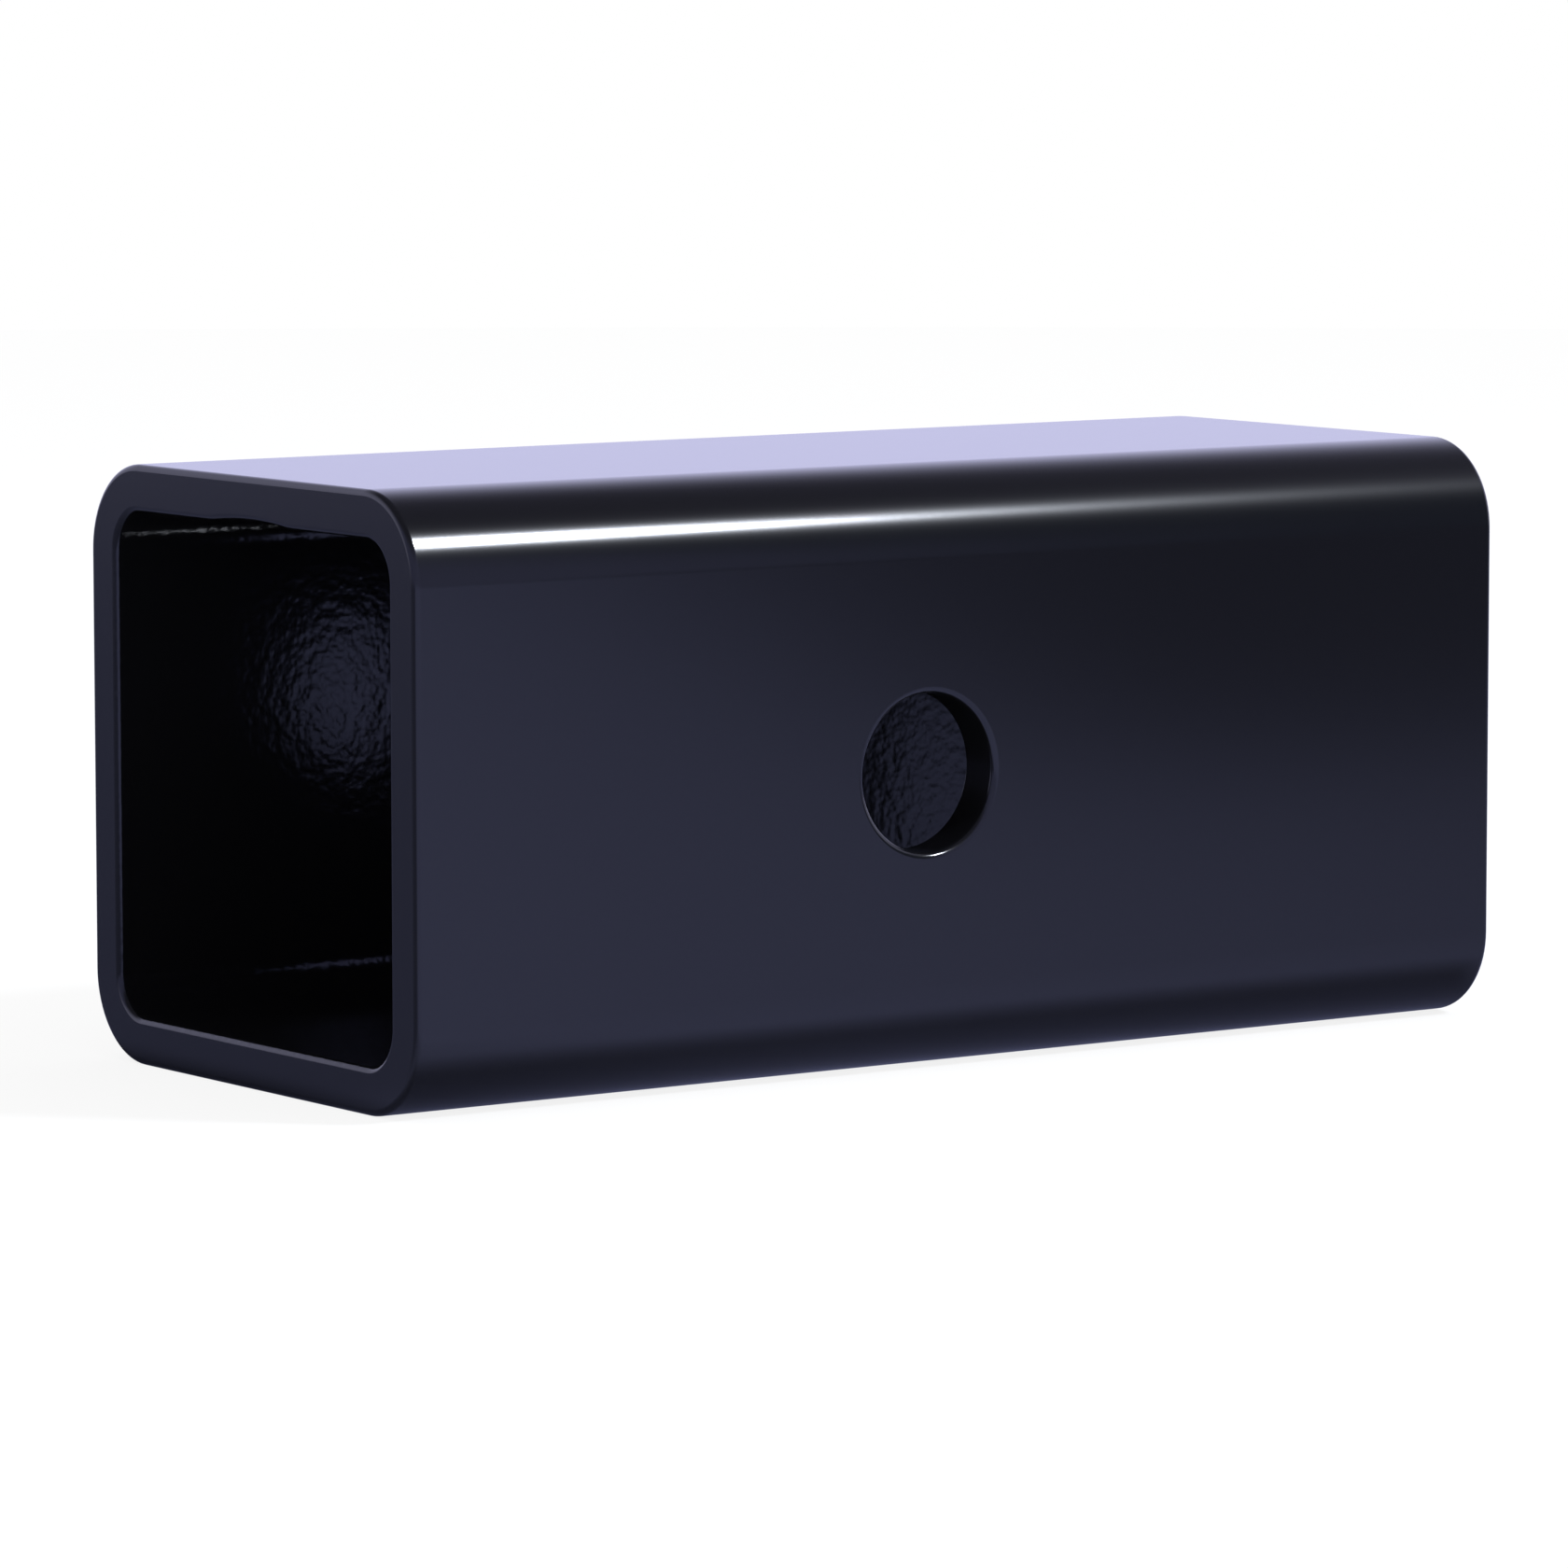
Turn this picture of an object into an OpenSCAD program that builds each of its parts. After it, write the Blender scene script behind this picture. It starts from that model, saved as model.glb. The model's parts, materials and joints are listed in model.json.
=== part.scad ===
// Reducer sleeve for a tow bar receiver: one length of welded square steel tube with both
// ends cut square, and one pin hole drilled through both side walls.
// The tube lies along X with its open near end at -X, the pin hole runs along Y, and Z is up.
// The origin is under the middle of the tube, on the face that it rests on.

/* [Tube] */
// Outside width and height of the square tube
tube_size = 63.5; // [58:0.5:80]
// Length of the sleeve
tube_len = 139.7; // [110:0.1:220]
// Thickness of the tube's wall
wall = 5; // [3:0.25:7]
// Outside radius of the four long corners
corner_r = 9.5; // [8.5:0.5:14]

/* [Pin hole] */
// Diameter of the hole that the hitch pin passes through
pin_hole_d = 16.7; // [12:0.1:20]
// Distance from the near end to the middle of the pin hole
pin_hole_from_end = 63.5; // [30:0.5:80]
// Radius of the dulled rim where the hole breaks out of a side face
pin_hole_rim_r = 0.7; // [0.3:0.1:1.2]

/* [Cut ends] */
// Radius of the dulled edges of both cut ends, outside and inside the tube
end_edge_r = 0.7; // [0.3:0.1:1.2]

/* [Weld seam] */
// Width of the shallow groove left inside the top wall where the weld bead was trimmed
seam_groove_w = 15; // [6:1:20]
// Depth of that groove at its middle
seam_groove_depth = 0.45; // [0.2:0.05:0.8]

/* [Hidden] */
// How far every cutting shape runs past the faces that it opens
overshoot = 2;
opening_size = tube_size - 2 * wall;
opening_r = corner_r - wall;
pin_hole_x = pin_hole_from_end - tube_len / 2;
// Radius of the arc whose chord is the groove's width and whose rise is its depth
seam_arc_r = (pow(seam_groove_w / 2, 2) + pow(seam_groove_depth, 2)) / (2 * seam_groove_depth);
// Larger than any shape that is turned about an axis
turned_reach = tube_len + tube_size + seam_arc_r;
$fn = 96;

// A long rectangle whose four corners are round
module dulled_bar(len, height, edge_r) {
    square([len - 2 * edge_r, height], center = true);
    square([len, height - 2 * edge_r], center = true);
    for (end = [-1, 1], side = [-1, 1])
        translate([end * (len / 2 - edge_r), side * (height / 2 - edge_r)])
            circle(edge_r);
}

// The flare that rounds the edge of a wall whose face is at y = face and whose end is at x = end
module edge_flare(end, face, edge_r) {
    difference() {
        translate([end - edge_r, face - overshoot])
            square([edge_r + overshoot, edge_r + overshoot]);
        translate([end - edge_r, face + edge_r])
            circle(edge_r);
    }
}

// A long passage that opens out at both ends, for cutting
module flared_bar(len, height, edge_r) {
    square([len + 2 * overshoot, height], center = true);
    for (end = [0, 1], side = [0, 1])
        mirror([end, 0])
            mirror([0, side])
                edge_flare(len / 2, height / 2, edge_r);
}

// A solid of revolution about the X axis, from a shape that is the same above and below it
module turned_along_x() {
    rotate([0, 90, 0])
        rotate_extrude()
            intersection() {
                rotate(90)
                    children();
                translate([0, -turned_reach])
                    square(2 * turned_reach);
            }
}

// A square bar along X with round long corners. Its first child is the flat shape that is carried
// across Y and up Z, and its second child is the shape that each corner is turned from.
module square_bar(size, round_r) {
    rotate([90, 0, 0])
        linear_extrude(size - 2 * round_r, center = true)
            children(0);
    linear_extrude(size - 2 * round_r, center = true)
        children(0);
    for (across = [-1, 1], up = [-1, 1])
        translate([0, across * (size / 2 - round_r), up * (size / 2 - round_r)])
            turned_along_x()
                children(1);
}

// The outside of the tube
module tube_outside() {
    square_bar(tube_size, corner_r) {
        dulled_bar(tube_len, tube_size, end_edge_r);
        dulled_bar(tube_len, 2 * corner_r, end_edge_r);
    }
}

// The passage through the tube that the ball mount's shank slides into
module tube_opening() {
    square_bar(opening_size, opening_r) {
        flared_bar(tube_len, opening_size, end_edge_r);
        flared_bar(tube_len, 2 * opening_r, end_edge_r);
    }
}

// The groove along the middle of the top wall's inner face. It is the crown of a large turned
// cylinder, and the box keeps the rest of that cylinder out of the side walls.
module seam_groove() {
    intersection() {
        translate([0, 0, opening_size / 2 + seam_groove_depth - seam_arc_r])
            turned_along_x($fn = 360)
                flared_bar(tube_len, 2 * seam_arc_r, end_edge_r);
        translate([0, 0, opening_size / 2])
            cube([2 * tube_len, opening_size - 2 * opening_r, 2 * overshoot], center = true);
    }
}

// The pin hole through both side walls, with a dulled rim on each side face
module pin_hole() {
    rotate(90)
        turned_along_x()
            flared_bar(tube_size, pin_hole_d, pin_hole_rim_r);
}

module sleeve() {
    color([0.10, 0.10, 0.13])
        translate([0, 0, tube_size / 2])
            difference() {
                tube_outside();
                tube_opening();
                seam_groove();
                translate([pin_hole_x, 0, 0])
                    pin_hole();
            }
}

sleeve();
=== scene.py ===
import json
import math

import bpy
import numpy as np
from mathutils import Matrix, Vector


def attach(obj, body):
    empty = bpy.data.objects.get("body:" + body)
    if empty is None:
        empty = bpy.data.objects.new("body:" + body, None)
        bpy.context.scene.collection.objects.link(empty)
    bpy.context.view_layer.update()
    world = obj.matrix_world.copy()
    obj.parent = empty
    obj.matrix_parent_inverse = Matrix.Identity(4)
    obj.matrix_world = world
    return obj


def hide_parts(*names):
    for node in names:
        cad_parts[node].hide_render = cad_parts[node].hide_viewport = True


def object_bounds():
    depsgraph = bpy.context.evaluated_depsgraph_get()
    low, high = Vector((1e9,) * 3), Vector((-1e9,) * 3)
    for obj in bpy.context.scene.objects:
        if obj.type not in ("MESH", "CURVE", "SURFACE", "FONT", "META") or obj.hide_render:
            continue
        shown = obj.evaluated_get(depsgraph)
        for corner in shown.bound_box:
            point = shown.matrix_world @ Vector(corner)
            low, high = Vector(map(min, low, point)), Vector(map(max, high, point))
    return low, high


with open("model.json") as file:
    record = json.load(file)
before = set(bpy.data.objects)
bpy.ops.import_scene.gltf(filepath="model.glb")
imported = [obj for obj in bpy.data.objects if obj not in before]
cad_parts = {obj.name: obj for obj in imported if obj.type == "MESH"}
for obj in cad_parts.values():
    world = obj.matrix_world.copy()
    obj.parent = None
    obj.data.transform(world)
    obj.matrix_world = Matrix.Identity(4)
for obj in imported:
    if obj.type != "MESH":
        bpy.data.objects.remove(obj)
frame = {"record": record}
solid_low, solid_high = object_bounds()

# Sizes of the sleeve in millimetres. The frame gives the overall ones and the pin hole.
MM = 0.001
LENGTH = (solid_high[0] - solid_low[0]) / MM
ACROSS = (solid_high[1] - solid_low[1]) / MM
WALL = 5.0
CORNER_R = 9.5
EDGE_R = 0.7
INNER_RIM_R = 0.25
SEAM_W = 15.0
SEAM_DEPTH = 0.45

mounts = {m["name"]: m for m in frame["record"]["mounts"]}
HOLE_R = mounts["pin_hole"]["dims"]["r_mm"]
HOLE_X = mounts["pin_hole"]["pos_m"][0] / MM
MID_Z = mounts["pin_hole"]["pos_m"][2] / MM

# Half of each flat side, which is also where the corners' arcs have their centres
FLAT = ACROSS / 2 - CORNER_R
OPENING_R = CORNER_R - WALL
# Half of the square window that the pin hole's own mesh fills in each side wall
WINDOW = 13.0

# A normal's part along one axis above which the face counts as square to that axis
UPRIGHT = 0.999

# How finely the surface is divided
FLAT_STEP = 1.0
ALONG_STEP = 2.0
CORNER_STEPS = 20
EDGE_STEPS = 8
END_STEPS = 5
RING_STEPS = 7
BORE_STEPS = 5


def stations(breaks, step):
    """Values from the first break to the last, evenly spaced between breaks at about step."""
    parts = []
    for low, high in zip(breaks[:-1], breaks[1:]):
        count = max(1, round((high - low) / step))
        parts.append(np.linspace(low, high, count + 1)[:-1])
    return np.append(np.concatenate(parts), breaks[-1])


def section():
    """The rounded square that every layer of the wall follows, as base points and unit normals.

    A layer at distance d from the base is base + d * normal. On a flat the base runs straight at
    FLAT from the tube's middle, and round a corner it stands still while the normal turns 90 degrees.
    The order is top, -Y side, underside, +Y side, and the result is a closed loop without its end.
    """
    seam = SEAM_W / 2
    top = stations([-FLAT, -seam, seam, FLAT], FLAT_STEP)
    side = stations([-FLAT, -WINDOW, WINDOW, FLAT], FLAT_STEP)
    turn = np.linspace(0, math.pi / 2, CORNER_STEPS + 1)[1:-1]
    base, normal = [], []
    for quarter, along in enumerate([top, side, top, side]):
        angle = math.pi / 2 + quarter * math.pi / 2
        out = np.array([math.cos(angle), math.sin(angle)])
        ahead = np.array([-out[1], out[0]])
        base.append(out * FLAT + along[:, None] * ahead)
        normal.append(np.repeat(out[None, :], len(along), 0))
        base.append(np.repeat(((out + ahead) * FLAT)[None, :], len(turn), 0))
        normal.append(np.stack([np.cos(angle + turn), np.sin(angle + turn)], 1))
    return np.concatenate(base), np.concatenate(normal)


def seam_groove(base, normal):
    """Depth of the trimmed seam inside the top wall, and its slope, for each point of the section.

    The groove is the crown of a large circle: its depth falls from SEAM_DEPTH at the middle to
    nothing at SEAM_W / 2 on each side.
    """
    arc_r = ((SEAM_W / 2) ** 2 + SEAM_DEPTH ** 2) / (2 * SEAM_DEPTH)
    y = np.clip(base[:, 0], -SEAM_W / 2, SEAM_W / 2)
    on_top = (normal[:, 1] > UPRIGHT) & (np.abs(base[:, 0]) <= SEAM_W / 2)
    depth = np.sqrt(arc_r ** 2 - y ** 2) - (arc_r - SEAM_DEPTH)
    slope = -y / np.sqrt(arc_r ** 2 - y ** 2)
    return np.where(on_top, depth, 0.0), np.where(on_top, slope, 0.0)


def wall_path():
    """The closed line round the wall's own thickness: along the outside, round the far end, back inside.

    Each point has its place along X, its share of the way from the inner face to the outer one,
    a further step outwards, and a normal as (along X, outwards). The four dulled edges are quarter
    circles of EDGE_R.
    """
    end = LENGTH / 2
    x_line = stations([EDGE_R - end, HOLE_X - WINDOW, HOLE_X + WINDOW, end - EDGE_R], ALONG_STEP)
    turn = np.linspace(0, math.pi / 2, EDGE_STEPS + 1)
    across = np.linspace(1, 0, END_STEPS + 1)[1:-1]
    flat = np.ones_like(across)
    outer = np.stack([x_line, 0 * x_line + 1, 0 * x_line, 0 * x_line, 0 * x_line + 1], 1)
    outer_edge = np.stack([end - EDGE_R + EDGE_R * np.sin(turn), 0 * turn + 1,
                           EDGE_R * (np.cos(turn) - 1), np.sin(turn), np.cos(turn)], 1)
    end_face = np.stack([flat * end, across, EDGE_R * (1 - 2 * across), flat, 0 * flat], 1)
    inner_edge = outer_edge[::-1] * [1, 0, -1, 1, -1]
    inner = outer[::-1] * [1, 0, 1, 1, -1]
    far_end = np.concatenate([outer_edge[1:], end_face, inner_edge[:-1]])
    near_end = far_end[::-1] * [-1, 1, 1, -1, 1]
    return np.concatenate([outer, far_end, inner, near_end])


def tube_skin():
    """The tube's whole surface but for the windows round the pin hole.

    It is the wall path carried round the section. A path point's distance from the section's base is
    its share of the outside radius, the rest of the opening's radius with the groove, and its own step.
    """
    base, normal = section()
    groove, slope = seam_groove(base, normal)
    path = wall_path()
    x, share, step, nx, nr = path.T
    around, along = len(base), len(path)
    opening = (1 - share[None, :]) * (OPENING_R + groove[:, None])
    layer = share[None, :] * CORNER_R + opening + step[None, :]
    yz = base[:, None, :] + layer[:, :, None] * normal[:, None, :]
    points = np.concatenate([np.broadcast_to(x[None, :, None], (around, along, 1)), yz], 2)
    tilt = slope[:, None] * (1 - share[None, :]) * nr[None, :]
    normals = np.concatenate([
        np.broadcast_to(nx[None, :, None], (around, along, 1)),
        nr[None, :, None] * normal[:, None, :],
    ], 2)
    normals[:, :, 1] -= tilt
    inside = np.where(nr < 0, -nr, 0) * (1 - share)
    inside = np.broadcast_to(inside[None, :], (around, along))
    under = np.clip(-normal[:, 1], 0, 1)[:, None] * np.clip(nr, 0, 1)[None, :]

    i = np.arange(around)[:, None]
    j = np.arange(along)[None, :]
    nxt_i, nxt_j = (i + 1) % around, (j + 1) % along
    quads = np.stack(np.broadcast_arrays(
        i * along + j, nxt_i * along + j, nxt_i * along + nxt_j, i * along + nxt_j), 2)
    mid = (points[i, j] + points[nxt_i, nxt_j]) / 2
    at_hole = (np.abs(mid[:, :, 0] - HOLE_X) < WINDOW) & (np.abs(mid[:, :, 2]) < WINDOW)
    lined = np.abs(nr[None, :] * normal[:, None, 0]) > UPRIGHT
    in_window = at_hole & lined & np.roll(lined, -1, 0)
    return points.reshape(-1, 3), normals.reshape(-1, 3), inside.ravel(), under.ravel(), quads[~in_window]


def pin_hole_mesh(side):
    """The side wall's window with the pin hole in it, from its outer border to its inner one.

    It runs in straight rays from the window's border to the dulled rim, round the rim on a
    quarter circle, along the bore, and out again over the inner face.
    """
    xs = stations([-WINDOW, WINDOW], ALONG_STEP)
    zs = stations([-WINDOW, WINDOW], FLAT_STEP)
    border = np.concatenate([
        np.stack([xs[:-1], 0 * xs[:-1] - WINDOW], 1),
        np.stack([0 * zs[:-1] + WINDOW, zs[:-1]], 1),
        np.stack([xs[:0:-1], 0 * xs[:0:-1] + WINDOW], 1),
        np.stack([0 * zs[:0:-1] - WINDOW, zs[:0:-1]], 1),
    ])
    reach = np.linalg.norm(border, axis=1)
    ray = border / reach[:, None]
    outer_y, inner_y = ACROSS / 2, ACROSS / 2 - WALL
    turn = np.linspace(0, math.pi / 2, EDGE_STEPS + 1)
    spread = np.linspace(1, 0, RING_STEPS + 1)
    bore = np.linspace(outer_y - EDGE_R, inner_y + INNER_RIM_R, BORE_STEPS + 1)[1:-1]
    # Rows: share of the way to the border, radius of the round part, height, normal (radial, up)
    rows = np.concatenate([
        np.stack([spread, 0 * spread + HOLE_R + EDGE_R, 0 * spread + outer_y,
                  0 * spread, 0 * spread + 1], 1),
        np.stack([0 * turn, HOLE_R + EDGE_R * (1 - np.sin(turn)),
                  outer_y - EDGE_R * (1 - np.cos(turn)), -np.sin(turn), np.cos(turn)], 1)[1:],
        np.stack([0 * bore, 0 * bore + HOLE_R, bore, 0 * bore - 1, 0 * bore], 1),
        np.stack([0 * turn, HOLE_R + INNER_RIM_R * (1 - np.cos(turn)),
                  inner_y + INNER_RIM_R * (1 - np.sin(turn)), -np.cos(turn), -np.sin(turn)], 1)[:-1],
        np.stack([spread[::-1], 0 * spread + HOLE_R + INNER_RIM_R, 0 * spread + inner_y,
                  0 * spread, 0 * spread - 1], 1),
    ])
    share, radius, height, radial, up = rows.T
    far = share[None, :] * reach[:, None] + (1 - share[None, :]) * radius[None, :]
    points = np.empty((len(ray), len(rows), 3))
    points[:, :, 0] = HOLE_X + far * ray[:, None, 0]
    points[:, :, 1] = side * height[None, :]
    points[:, :, 2] = far * ray[:, None, 1]
    normals = np.empty_like(points)
    normals[:, :, 0] = radial[None, :] * ray[:, None, 0]
    normals[:, :, 1] = side * up[None, :]
    normals[:, :, 2] = radial[None, :] * ray[:, None, 1]
    inside = np.broadcast_to(np.where(up < 0, -up, 0)[None, :], points.shape[:2])
    i = np.arange(len(ray))[:, None]
    j = np.arange(len(rows) - 1)[None, :]
    nxt = (i + 1) % len(ray)
    quads = np.stack(np.broadcast_arrays(
        i * len(rows) + j, nxt * len(rows) + j, nxt * len(rows) + j + 1, i * len(rows) + j + 1), 2)
    inside = inside.ravel()
    return points.reshape(-1, 3), normals.reshape(-1, 3), inside, 0 * inside, quads.reshape(-1, 4)


def welded(parts):
    """Joins parts at the points that they share, and turns each face the way its points' normals look."""
    points, normals, inside, under, quads, start = [], [], [], [], [], 0
    for p, n, a, b, q in parts:
        points.append(p)
        normals.append(n)
        inside.append(a)
        under.append(b)
        quads.append(q + start)
        start += len(p)
    points, normals, quads = np.concatenate(points), np.concatenate(normals), np.concatenate(quads)
    key = np.round(points, 4)
    first, which = np.unique(key, axis=0, return_index=True, return_inverse=True)[1:]
    points, normals = points[first], normals[first]
    inside, under = np.concatenate(inside)[first], np.concatenate(under)[first]
    quads = which.ravel()[quads]
    one, two, three, four = points[quads].transpose(1, 0, 2)
    diagonal = np.cross(three - one, four - two)
    backward = (diagonal * normals[quads].sum(1)).sum(1) < 0
    quads[backward] = quads[backward][:, ::-1]
    return points, normals / np.linalg.norm(normals, axis=1)[:, None], inside, under, quads


def mesh_object(name, points, normals, quads, marks):
    """A mesh object from whole arrays, with its own smooth normals and one attribute for each mark."""
    mesh = bpy.data.meshes.new(name)
    mesh.vertices.add(len(points))
    mesh.vertices.foreach_set("co", (points * MM).astype(np.float32).ravel())
    mesh.loops.add(quads.size)
    mesh.loops.foreach_set("vertex_index", quads.astype(np.int32).ravel())
    mesh.polygons.add(len(quads))
    mesh.polygons.foreach_set("loop_start", np.arange(0, quads.size, 4, dtype=np.int32))
    mesh.update(calc_edges=True)
    mesh.shade_smooth()
    mesh.normals_split_custom_set_from_vertices(normals.astype(np.float32))
    for mark, values in marks.items():
        layer = mesh.attributes.new(mark, "FLOAT", "POINT")
        layer.data.foreach_set("value", values.astype(np.float32))
    made = bpy.data.objects.new(name, mesh)
    bpy.context.scene.collection.objects.link(made)
    return made


class Wire:
    """A value, colour or shader in a node tree. Python's operators on values add the Math nodes."""

    def __init__(self, tree, socket=None):
        self.tree = tree
        self.socket = socket

    @staticmethod
    def pick(sockets, key):
        """The socket with this number, identifier or name."""
        if isinstance(key, int):
            return sockets[key]
        by_id = [s for s in sockets if s.identifier == key]
        return (by_id or [s for s in sockets if s.name == key])[0]

    def node(self, kind, settings=None, inputs=None, output=0):
        """Adds a node: its settings come first, then a value or a wire for each named input."""
        made = self.tree.nodes.new(kind)
        for name, value in (settings or {}).items():
            setattr(made, name, value)
        for key, value in (inputs or {}).items():
            target = self.pick(made.inputs, key)
            if isinstance(value, Wire):
                self.tree.links.new(value.socket, target)
            else:
                target.default_value = value
        return Wire(self.tree, self.pick(made.outputs, output) if len(made.outputs) else None)

    def math(self, operation, *values):
        return self.node("ShaderNodeMath", {"operation": operation}, dict(enumerate(values)))

    def __add__(self, other):
        return self.math("ADD", self, other)

    def __radd__(self, other):
        return self.math("ADD", other, self)

    def __sub__(self, other):
        return self.math("SUBTRACT", self, other)

    def __rsub__(self, other):
        return self.math("SUBTRACT", other, self)

    def __mul__(self, other):
        return self.math("MULTIPLY", self, other)

    def __rmul__(self, other):
        return self.math("MULTIPLY", other, self)

    def __truediv__(self, other):
        return self.math("DIVIDE", self, other)

    def __abs__(self):
        return self.math("ABSOLUTE", self)

    def ease(self, low, high):
        """0 below low, 1 above high, and a smooth step between them."""
        return self.node("ShaderNodeMapRange", {"interpolation_type": "SMOOTHSTEP"},
                         {"Value": self, "From Min": low, "From Max": high}, "Result")

    def blend(self, low, high):
        """The value low where this is 0 and high where it is 1."""
        return self * high + (1 - self) * low

    def tint(self, low, high):
        """The colour low where this is 0 and high where it is 1."""
        return self.node("ShaderNodeMix", {"data_type": "RGBA", "clamp_factor": False},
                         {"Factor_Float": self, "A_Color": low, "B_Color": high}, "Result_Color")

    def axes(self):
        """The three values of a vector."""
        split = self.node("ShaderNodeSeparateXYZ", None, {"Vector": self}).socket.node
        return [Wire(self.tree, s) for s in split.outputs]

    def noise(self, size, detail=1.0):
        """Noise from 0 to 1 on this vector, with bumps about size apart, in metres."""
        scaled = self.node("ShaderNodeVectorMath", {"operation": "MULTIPLY"},
                           {0: self, 1: (1 / size, 1 / size, 1 / size)})
        return self.node("ShaderNodeTexNoise", None,
                         {"Vector": scaled, "Scale": 1.0, "Detail": detail, "Roughness": 0.5}, "Fac")


def new_material(name):
    material = bpy.data.materials.new(name)
    material.use_nodes = True
    material.node_tree.nodes.clear()
    return material, Wire(material.node_tree)


BLACK = (0.0032, 0.0032, 0.0042, 1.0)
# Widths of the coat's bumps in metres, and their heights in millimetres
PEEL_SIZE, GRAIN_SIZE, WAVE_SIZE = 1.1 * MM, 0.7 * MM, 16 * MM
PEEL_INSIDE, PEEL_OUTSIDE = 0.05, 0.0006
GRAIN_HEIGHT = 0.01
WAVE_HEIGHT = 0.004


def black_coat():
    """Gloss black powder coat: nearly a mirror outside, with strong orange peel inside the tube."""
    material, wire = new_material("black_coat")
    place = wire.node("ShaderNodeTexCoord", output="Object")
    inside = wire.node("ShaderNodeAttribute", {"attribute_name": "inside"}, output="Fac")
    under = wire.node("ShaderNodeAttribute", {"attribute_name": "under"}, output="Fac")
    peel = place.noise(PEEL_SIZE)
    grain = place.noise(GRAIN_SIZE)
    wave = place.noise(WAVE_SIZE)
    height = peel * (inside * PEEL_INSIDE + PEEL_OUTSIDE)
    height = height + grain * under.ease(0.3, 0.9) * GRAIN_HEIGHT + wave * WAVE_HEIGHT
    bump = wire.node("ShaderNodeBump", None, {"Strength": 1.0, "Distance": MM, "Height": height})
    coat = wire.node("ShaderNodeBsdfPrincipled", None, {
        "Base Color": BLACK, "Roughness": 0.16, "IOR": 1.5, "Normal": bump})
    wire.node("ShaderNodeOutputMaterial", None, {"Surface": coat})
    return material


# Levels of the painted light that the coat mirrors in the floor: the painted pool of light in front, the
# painted shadow behind the near end, the painted dark of the room past the table, and the painted contact
# shadow close round the part, which reaches this far in millimetres
LIGHT_POOL_LOW, LIGHT_POOL_HIGH = 0.3, 0.56
BEHIND_SHADOW_LEVEL = 0.16
DARK_ROOM_LEVEL = 0.045
CONTACT_SHADOW_LEVEL, CONTACT_SHADOW_REACH = 0.28, 9


def pale_floor():
    """White to the camera but for the part's soft shadow. To mirror rays it shows painted light instead: a
    painted pool of cool light with painted shadows and a painted dark room.
    """
    material, wire = new_material("pale_floor")
    x, y, _ = wire.node("ShaderNodeTexCoord", output="Object").axes()
    ray = wire.node("ShaderNodeLightPath").socket.node
    camera = Wire(wire.tree, ray.outputs["Is Camera Ray"])
    mirrored = Wire(wire.tree, ray.outputs["Is Glossy Ray"])
    mirrored = mirrored + Wire(wire.tree, ray.outputs["Is Transmission Ray"])
    x, y = x / MM, y / MM
    # The painted light in the floor is strongest in front of the part and fades to its right
    front = 0.5 - 0.0012 * (x + 0.6 * (y + 78))
    front = wire.math("MINIMUM", wire.math("MAXIMUM", front, LIGHT_POOL_LOW), LIGHT_POOL_HIGH)
    # A painted shadow makes it dim behind the near end, where the part's shadow falls
    painted_shadow_mask = (y * 0.8 - x * 0.6).ease(-20, 50)
    painted_light = painted_shadow_mask.blend(front, BEHIND_SHADOW_LEVEL)
    # Past the table's front edge the floor is painted dark, standing in for the dark room on the right
    past = (0 - y).ease(190, 340) * (x + 0.46 * y - 74).ease(-60, 50)
    painted_light = past.blend(painted_light, DARK_ROOM_LEVEL)
    # A painted contact shadow makes the floor dark close round the part
    gap = wire.math("MAXIMUM", abs(x) - LENGTH / 2, abs(y) - ACROSS / 2)
    painted_light = painted_light * gap.ease(0, CONTACT_SHADOW_REACH).blend(CONTACT_SHADOW_LEVEL, 1.0)
    # Mirror and transmission rays see this painted light, tinted cool, in place of the floor's own shading
    colour = wire.node("ShaderNodeCombineColor", None, {"Red": painted_light, "Green": painted_light * 1.08, "Blue": painted_light * 1.95})
    painted_for_mirrors = wire.node("ShaderNodeEmission", None, {"Color": colour, "Strength": 1.0})
    white = wire.node("ShaderNodeEmission", None, {"Color": (1, 1, 1, 1), "Strength": 1.0})
    plain = wire.node("ShaderNodeBsdfDiffuse", None, {"Color": (0.9, 0.9, 0.9, 1)})
    shader = wire.node("ShaderNodeMixShader", None, {0: camera * 0.85, 1: plain, 2: white})
    shader = wire.node("ShaderNodeMixShader", None, {0: mirrored, 1: shader, 2: painted_for_mirrors})
    wire.node("ShaderNodeOutputMaterial", None, {"Surface": shader})
    return material


# Degrees from the front, towards the far end, at which the pale panel stops
PANEL_EDGE = 35.5


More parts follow.
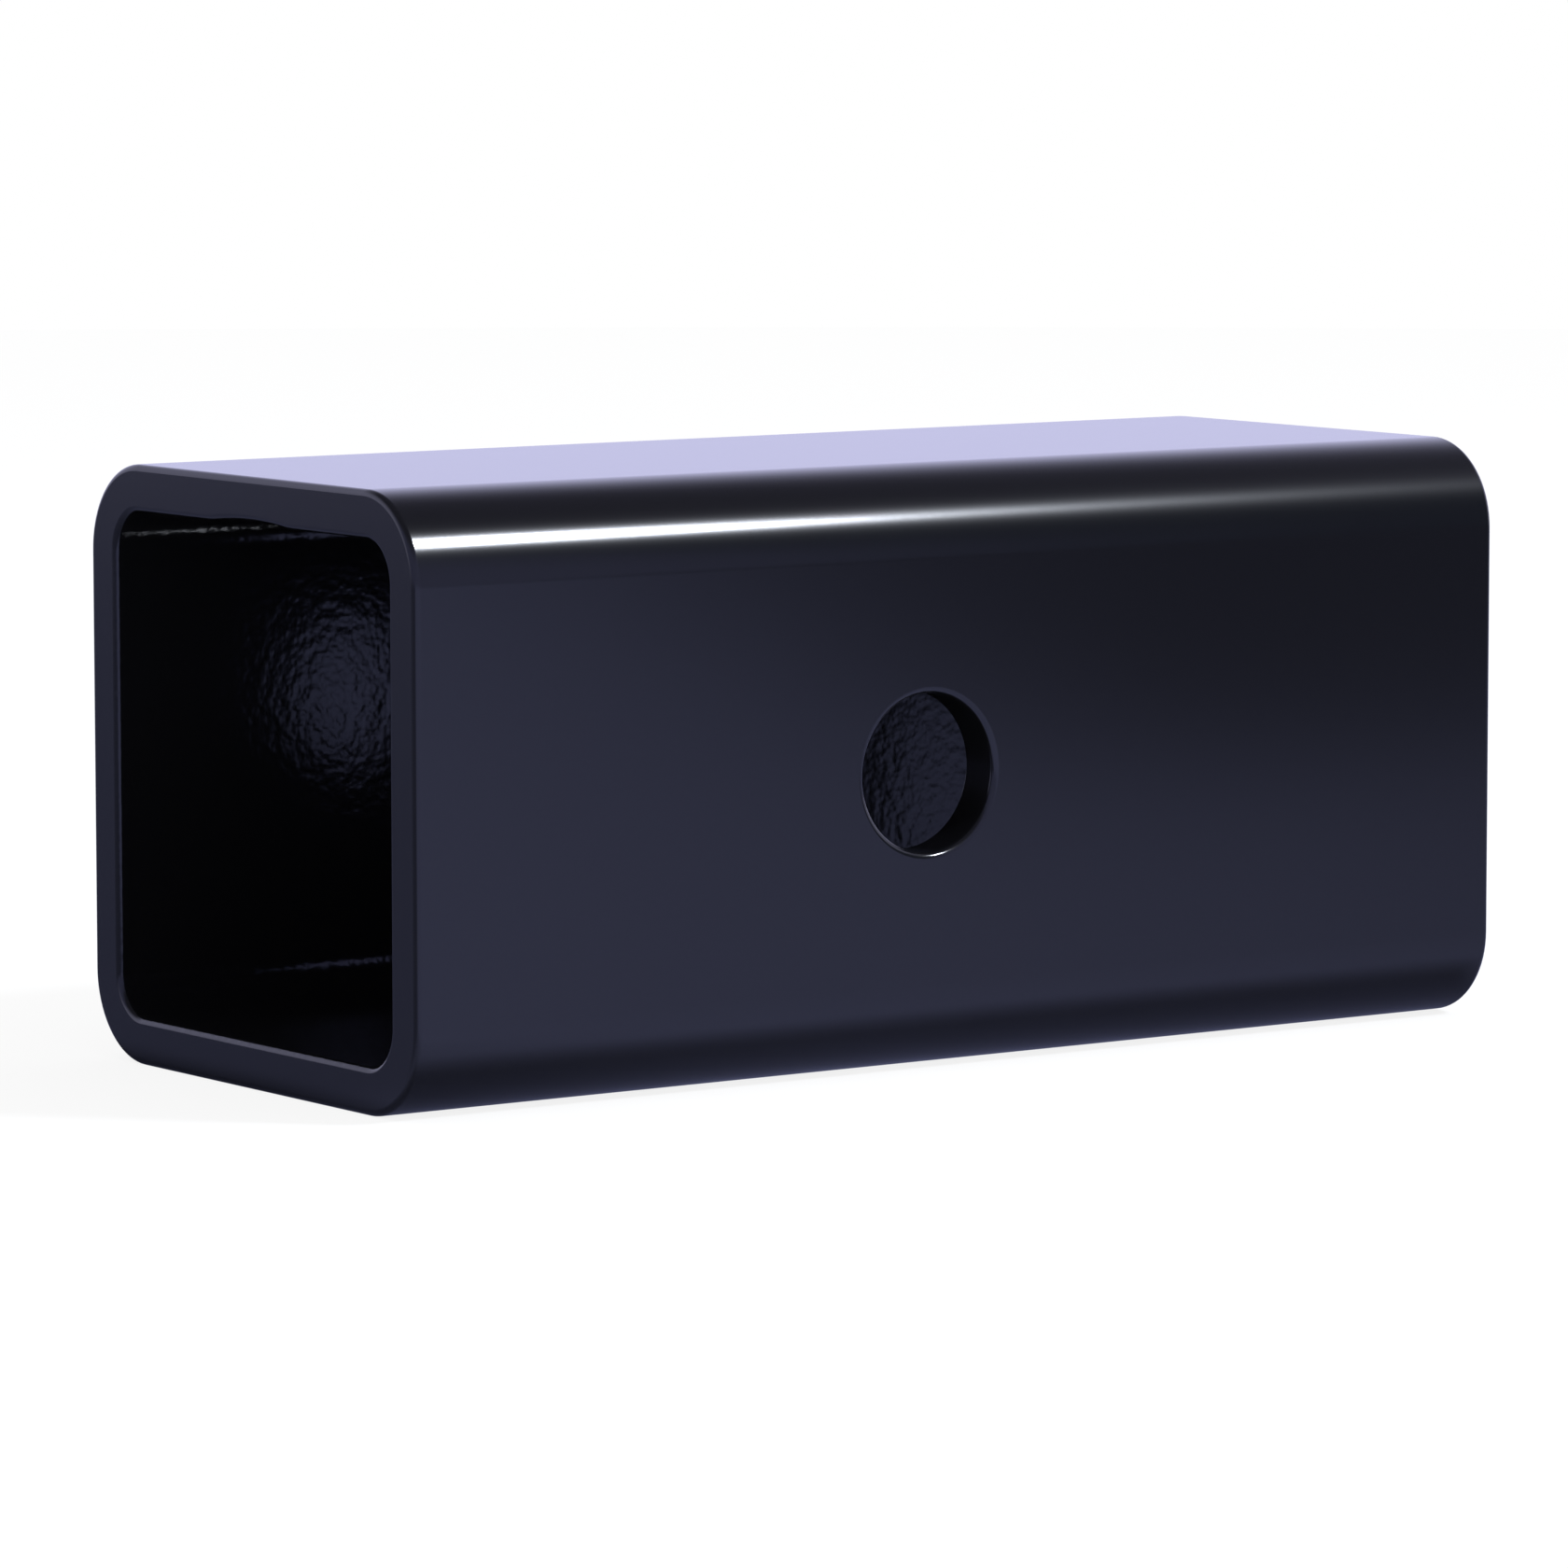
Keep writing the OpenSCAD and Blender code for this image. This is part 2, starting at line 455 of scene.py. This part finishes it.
def studio():
    """Soft light all round. The coat mirrors a white backdrop, a pale panel in front and a dark room."""
    world = bpy.data.worlds.new("studio")
    world.use_nodes = True
    world.node_tree.nodes.clear()
    wire = Wire(world.node_tree)
    x, y, z = wire.node("ShaderNodeTexCoord", output="Generated").axes()
    ray = wire.node("ShaderNodeLightPath").socket.node
    camera = Wire(wire.tree, ray.outputs["Is Camera Ray"])
    mirrored = Wire(wire.tree, ray.outputs["Is Glossy Ray"])
    mirrored = mirrored + Wire(wire.tree, ray.outputs["Is Transmission Ray"])
    edge = math.radians(PANEL_EDGE)
    past = x * math.cos(edge) + y * math.sin(edge)
    right = past.ease(-0.03, 0.03)
    high = z.ease(0.36, 0.82)
    behind = (y * 0.9 + x * 0.45).ease(-0.2, 0.25)
    front = right.tint((0.38, 0.40, 0.74, 1), (0.04, 0.06, 0.10, 1))
    low = behind.tint(front, (0.95, 0.95, 1.36, 1))
    sky = high.tint(low, (0.10, 0.10, 0.15, 1))
    colour = mirrored.tint((0.95, 0.95, 0.95, 1), sky)
    colour = camera.tint(colour, (1, 1, 1, 1))
    background = wire.node("ShaderNodeBackground", None, {"Color": colour, "Strength": 1.0})
    wire.node("ShaderNodeOutputWorld", None, {"Surface": background})
    bpy.context.scene.world = world


FLOOR_R = 1500


def floor_object():
    """A round floor under the part: one ring of points about the origin, filled with a single face."""
    turn = np.linspace(0, 2 * math.pi, 97)[:-1]
    points = np.stack([np.cos(turn), np.sin(turn), 0 * turn], 1) * FLOOR_R
    mesh = bpy.data.meshes.new("floor")
    mesh.from_pydata((points * MM).tolist(), [], [list(range(len(points)))])
    made = bpy.data.objects.new("floor", mesh)
    bpy.context.scene.collection.objects.link(made)
    made.data.materials.append(pale_floor())


# The lamp's place in degrees from the front and above the floor, and its distance and width in metres
LAMP_AZIMUTH, LAMP_ELEVATION = 40, 44
LAMP_DISTANCE = 1.2
LAMP_SIZE = 0.16
LAMP_WATTS = 14


def lamp():
    """A small soft lamp in front, to the right and above."""
    light = bpy.data.lights.new("lamp", "AREA")
    light.shape = "DISK"
    light.size = LAMP_SIZE
    light.energy = LAMP_WATTS
    light.color = (0.85, 0.9, 1.0)
    made = bpy.data.objects.new("lamp", light)
    round_z = Matrix.Rotation(math.radians(LAMP_AZIMUTH), 4, "Z")
    tilt = Matrix.Rotation(math.radians(90 - LAMP_ELEVATION), 4, "X")
    made.matrix_world = round_z @ tilt @ Matrix.Translation((0, 0, LAMP_DISTANCE))
    bpy.context.scene.collection.objects.link(made)


# The camera's place in metres, its angles in degrees, and its lens and sensor in millimetres
CAMERA_PLACE = (-0.49944, -0.70468, 0.12094)
CAMERA_YAW, CAMERA_PITCH, CAMERA_ROLL = 35.19, 6.18, 0.05
LENS, SENSOR = 184.87, 36


def camera():
    """The photograph's own camera: a long lens, a little above and to the left of the part."""
    data = bpy.data.cameras.new("camera")
    data.sensor_width = SENSOR
    data.lens = LENS
    made = bpy.data.objects.new("camera", data)
    made.matrix_world = (
        Matrix.Translation(CAMERA_PLACE)
        @ Matrix.Rotation(math.radians(-CAMERA_YAW), 4, "Z")
        @ Matrix.Rotation(math.radians(90 - CAMERA_PITCH), 4, "X")
        @ Matrix.Rotation(math.radians(-CAMERA_ROLL), 4, "Z")
    )
    bpy.context.scene.collection.objects.link(made)
    bpy.context.scene.camera = made


def sleeve():
    """The coated tube in one piece, lifted so that it rests on its flat face."""
    points, normals, inside, under, quads = welded([tube_skin(), pin_hole_mesh(-1), pin_hole_mesh(1)])
    marks = {"inside": inside, "under": under}
    made = mesh_object("reducer_sleeve", points + [0, 0, MID_Z], normals, quads, marks)
    made.data.materials.append(black_coat())
    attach(made, "root")
    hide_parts("sleeve")


sleeve()
floor_object()
studio()
lamp()
camera()
bpy.context.scene.view_settings.view_transform = "Standard"
